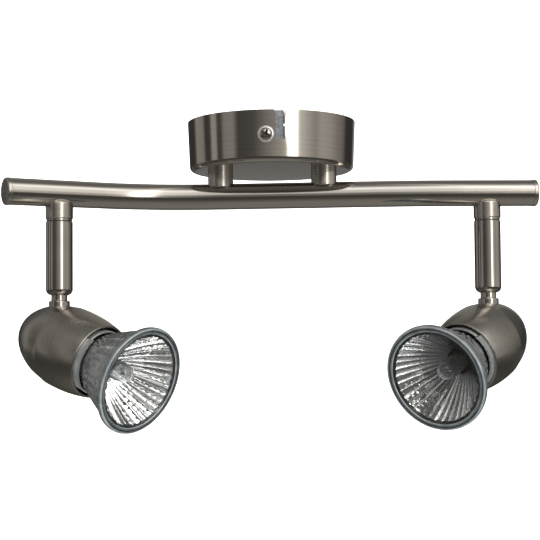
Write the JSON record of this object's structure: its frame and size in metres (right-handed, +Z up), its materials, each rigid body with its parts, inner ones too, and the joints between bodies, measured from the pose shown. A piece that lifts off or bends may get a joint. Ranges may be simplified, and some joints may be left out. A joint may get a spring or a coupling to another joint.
{
  "type": "two-lamp ceiling spotlight bar",
  "caption": "Satin metal ceiling spotlight bar: a round canopy carries a gently curved tube with egg-shaped tilting heads, each holding a glass reflector lamp.",
  "frame": {"origin": "centre of the canopy on the ceiling plane, midway between the two ceiling screw slots", "axes": "+Z up into the ceiling, the front of the fixture faces -Y, and the bar runs along X"},
  "size_m": [0.2565, 0.1136, 0.1474],
  "materials": {
    "satin_nickel": "satin brushed nickel plate",
    "polished_nickel": "bright nickel plate",
    "zinc_plate": "zinc-plated sheet steel",
    "brass": "plain turned brass",
    "nylon": "white nylon",
    "dark_steel": "blackened spring steel",
    "grey_ring": "light grey satin",
    "ceramic": "unglazed white ceramic",
    "lamp_glass": "pressed glass with a faceted mirror coating inside",
    "cover_glass": "clear pressed glass",
    "quartz": "clear quartz",
    "tungsten": "dull tungsten"
  },
  "bodies": {
    "fixture": {"canopy": "satin_nickel", "ceiling_plate": "zinc_plate", "canopy_screws": "polished_nickel", "canopy_cup_washers": "polished_nickel", "terminal_block": "nylon", "terminal_screws": "zinc_plate", "earth_screw": "brass", "stud_left": "satin_nickel", "stud_right": "satin_nickel", "stud_nuts": "zinc_plate", "stud_washers": "zinc_plate", "bar_tube": "satin_nickel", "end_cap_left": "satin_nickel", "end_cap_right": "satin_nickel", "collar_left": "satin_nickel", "collar_right": "satin_nickel", "swivel_tube_left": "zinc_plate", "swivel_tube_right": "zinc_plate", "swivel_ring_left": "polished_nickel", "swivel_ring_right": "polished_nickel"},
    "stem_left": {"stem_left": "polished_nickel", "pressure_sleeve_left": "nylon", "spring_washer_left": "dark_steel"},
    "head_left": {"ball_neck_left": "polished_nickel", "neck_nut_left": "zinc_plate", "head_shell_left": "satin_nickel", "holder_strap_left": "dark_steel", "holder_ring_left": "grey_ring", "lampholder_left": "ceramic", "holder_contacts_left": "brass", "holder_screws_left": "zinc_plate"},
    "lamp_left": {"lamp_reflector_left": "lamp_glass", "lamp_cover_glass_left": "cover_glass", "lamp_base_left": "ceramic", "lamp_pins_left": "brass", "lamp_capsule_left": "quartz", "lamp_filament_left": "tungsten"},
    "stem_right": {"stem_right": "polished_nickel", "pressure_sleeve_right": "nylon", "spring_washer_right": "dark_steel"},
    "head_right": {"ball_neck_right": "polished_nickel", "neck_nut_right": "zinc_plate", "head_shell_right": "satin_nickel", "holder_strap_right": "dark_steel", "holder_ring_right": "grey_ring", "lampholder_right": "ceramic", "holder_contacts_right": "brass", "holder_screws_right": "zinc_plate"},
    "lamp_right": {"lamp_reflector_right": "lamp_glass", "lamp_cover_glass_right": "cover_glass", "lamp_base_right": "ceramic", "lamp_pins_right": "brass", "lamp_capsule_right": "quartz", "lamp_filament_right": "tungsten"}
  },
  "joints": [
    {"name": "pan_left", "type": "hinge", "parent": "fixture", "child": "stem_left", "pos_m": [-0.102, -0.01327, -0.0492], "axis": [0, 0, 1], "range_deg": [-170, 170]},
    {"name": "tilt_left", "type": "hinge", "parent": "stem_left", "child": "head_left", "pos_m": [-0.102, -0.01327, -0.0798], "axis": [0.6574, 0.7536, 0], "range_deg": [0, 75]},
    {"name": "lamp_twist_left", "type": "hinge", "parent": "head_left", "child": "lamp_left", "pos_m": [-0.09451, -0.0198, -0.10998], "axis": [0.7167, -0.6252, -0.309], "range_deg": [0, 20]},
    {"name": "pan_right", "type": "hinge", "parent": "fixture", "child": "stem_right", "pos_m": [0.1034, -0.01429, -0.0492], "axis": [0, 0, 1], "range_deg": [-170, 170]},
    {"name": "tilt_right", "type": "hinge", "parent": "stem_right", "child": "head_right", "pos_m": [0.1034, -0.01429, -0.0798], "axis": [0.749, -0.6626, 0], "range_deg": [0, 75]},
    {"name": "lamp_twist_right", "type": "hinge", "parent": "head_right", "child": "lamp_right", "pos_m": [0.09682, -0.02173, -0.10998], "axis": [-0.6302, -0.7123, -0.309], "range_deg": [0, 20]}
  ]
}
